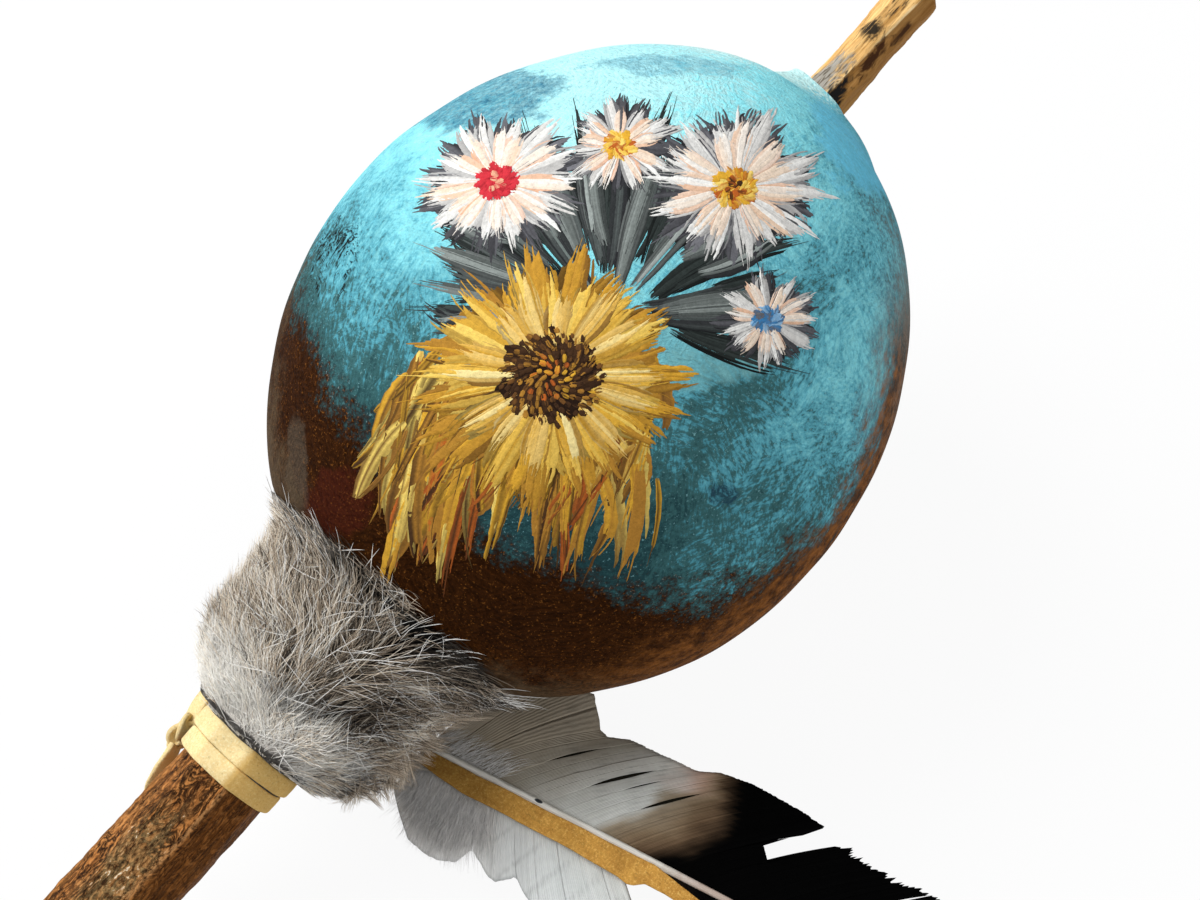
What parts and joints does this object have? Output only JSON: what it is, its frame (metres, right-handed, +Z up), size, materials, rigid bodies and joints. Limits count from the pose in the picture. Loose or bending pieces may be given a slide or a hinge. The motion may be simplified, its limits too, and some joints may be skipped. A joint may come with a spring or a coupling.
{
  "type": "gourd rattle",
  "caption": "Hollow painted gourd on a whittled stick, with loose pebbles inside, a laced fur collar and a feather hung on a suede thong; shaken by the stick's grip.",
  "frame": {"origin": "centre of the flat ground spot on the gourd's belly that the lying rattle rests on", "axes": "+Z up from the table, +X along the stick's shadow on the table from the grip to the tip, +Y to the lace knot's side; the stick itself rises 14.2 degrees towards the tip"},
  "size_m": [0.3635, 0.2464, 0.1426],
  "materials": {
    "painted_gourd": "dry-brushed acrylic from turquoise to dark brown under a satin varnish",
    "dark_wood": "whittled, stained dark on the grip and raw at the tip",
    "glue": "hide glue, brown",
    "fur": "grey rabbit fur",
    "suede": "pale tan suede lace",
    "brown_suede": "ochre suede",
    "quill": "feather shaft, pale horn",
    "feather": "white and grey barbs with a black tip",
    "stone": "river pebble"
  },
  "bodies": {
    "rattle": {"gourd_shell": "painted_gourd", "handle_stick": "dark_wood", "tip_glue_collar": "glue", "base_glue_collar": "glue", "fur_collar": "fur", "lace_binding": "suede", "lace_knot": "suede", "lace_tail_lower": "suede", "lace_tail_upper": "suede", "thong_tie": "brown_suede"},
    "feather": {"feather_thong": "brown_suede", "feather_shaft": "quill", "feather_vane_inner": "feather", "feather_vane_outer": "feather", "feather_down": "feather"},
    "pebble_01": {"pebble_01": "stone"},
    "pebble_02": {"pebble_02": "stone"},
    "pebble_03": {"pebble_03": "stone"},
    "pebble_04": {"pebble_04": "stone"},
    "pebble_05": {"pebble_05": "stone"},
    "pebble_06": {"pebble_06": "stone"},
    "pebble_07": {"pebble_07": "stone"},
    "pebble_08": {"pebble_08": "stone"},
    "pebble_09": {"pebble_09": "stone"},
    "pebble_10": {"pebble_10": "stone"}
  },
  "joints": [
    {"name": "feather_swing", "type": "hinge", "parent": "rattle", "child": "feather", "pos_m": [-0.07954, -0.021, 0.02089], "axis": [0, 0, 1], "range_deg": [-45, 6]},
    {"name": "pebble_01_hop", "type": "slide", "parent": "rattle", "child": "pebble_01", "axis": [0, 0, 1], "range_m": [0, 0.05]},
    {"name": "pebble_02_hop", "type": "slide", "parent": "rattle", "child": "pebble_02", "axis": [0, 0, 1], "range_m": [0, 0.047]},
    {"name": "pebble_03_hop", "type": "slide", "parent": "rattle", "child": "pebble_03", "axis": [0, 0, 1], "range_m": [0, 0.053]},
    {"name": "pebble_04_hop", "type": "slide", "parent": "rattle", "child": "pebble_04", "axis": [0, 0, 1], "range_m": [0, 0.054]},
    {"name": "pebble_05_hop", "type": "slide", "parent": "rattle", "child": "pebble_05", "axis": [0, 0, 1], "range_m": [0, 0.044]},
    {"name": "pebble_06_hop", "type": "slide", "parent": "rattle", "child": "pebble_06", "axis": [0, 0, 1], "range_m": [0, 0.054]},
    {"name": "pebble_07_hop", "type": "slide", "parent": "rattle", "child": "pebble_07", "axis": [0, 0, 1], "range_m": [0, 0.12]},
    {"name": "pebble_08_hop", "type": "slide", "parent": "rattle", "child": "pebble_08", "axis": [0, 0, 1], "range_m": [0, 0.119]},
    {"name": "pebble_09_hop", "type": "slide", "parent": "rattle", "child": "pebble_09", "axis": [0, 0, 1], "range_m": [0, 0.052]},
    {"name": "pebble_10_hop", "type": "slide", "parent": "rattle", "child": "pebble_10", "axis": [0, 0, 1], "range_m": [0, 0.043]}
  ]
}
